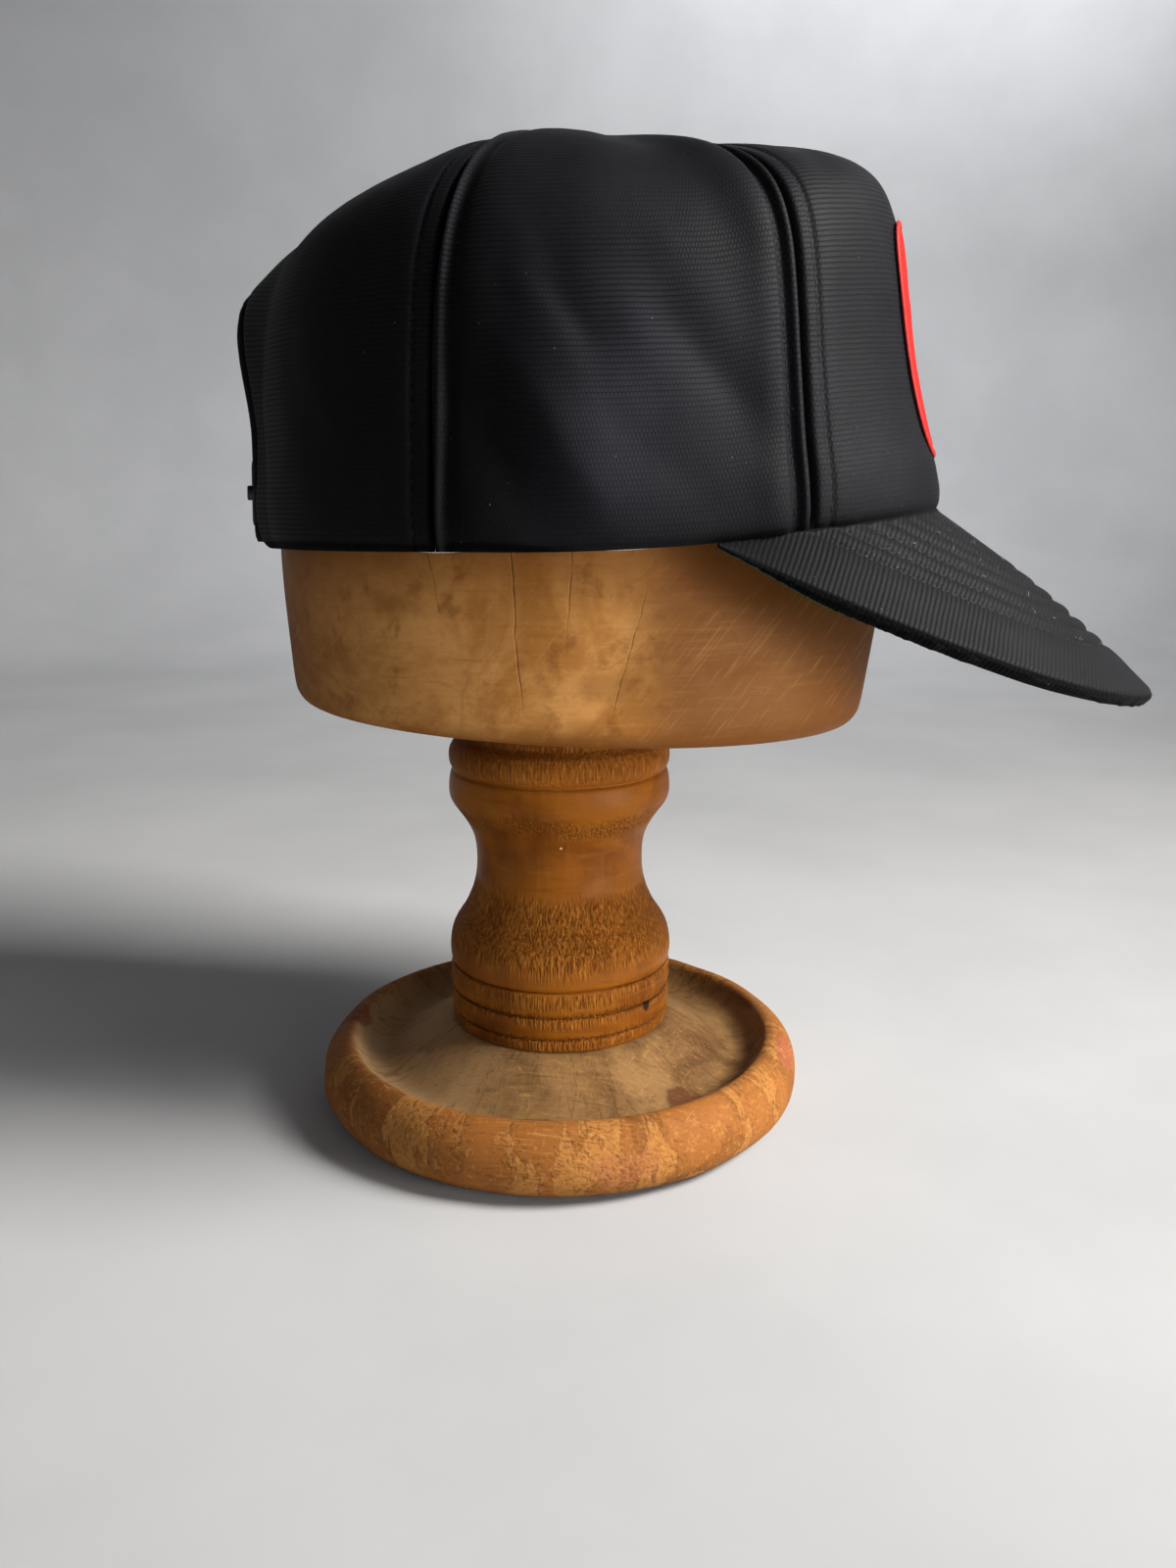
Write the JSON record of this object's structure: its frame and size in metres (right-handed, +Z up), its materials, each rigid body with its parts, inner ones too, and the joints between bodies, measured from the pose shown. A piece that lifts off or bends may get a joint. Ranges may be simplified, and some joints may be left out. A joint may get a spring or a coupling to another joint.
{
  "type": "trucker cap on wooden hat block stand",
  "caption": "Foam-backed ribbed knit trucker cap with a stitched curved brim, plain front patch and snap strap, on an oval hat block with a turned stem and dished foot",
  "frame": {"origin": "centre of the foot's flat underside, on the axis of the turned stem", "axes": "+Z up along the stem, -Y towards the tip of the brim, -X towards the wearer's right"},
  "size_m": [0.1714, 0.2684, 0.2938],
  "materials": {
    "black_knit": "fine ribbed knit with a soft satin sheen, laminated to thin foam",
    "black_binding": "folded woven edge binding",
    "black_brim": "ribbed knit drawn over a stiff board, stitched in rows, with a fuzzy edge",
    "green_lining": "plain woven lining",
    "off_white_band": "soft woven sweatband",
    "red_twill": "embroidered twill",
    "red_thread": "raised overlocked thread edge",
    "black_plastic": "moulded, semi-gloss",
    "pale_wood": "worn, stained and finely cracked, satin",
    "turned_wood": "turned, coarse torn grain, satin varnish",
    "worn_wood": "worn bare wood with stains"
  },
  "bodies": {
    "root": {"front_panel": "black_knit", "side_panel_right": "black_knit", "side_panel_left": "black_knit", "back_panel_right": "black_knit", "back_panel_left": "black_knit", "arch_binding": "black_binding", "top_button": "black_knit", "sweatband": "off_white_band", "brim_upper": "black_brim", "brim_under": "green_lining", "patch_face": "red_twill", "patch_border": "red_thread", "strap_with_pegs": "black_plastic", "strap_with_holes": "black_plastic", "hat_block": "pale_wood", "stem": "turned_wood", "foot": "worn_wood"}
  },
  "joints": []
}
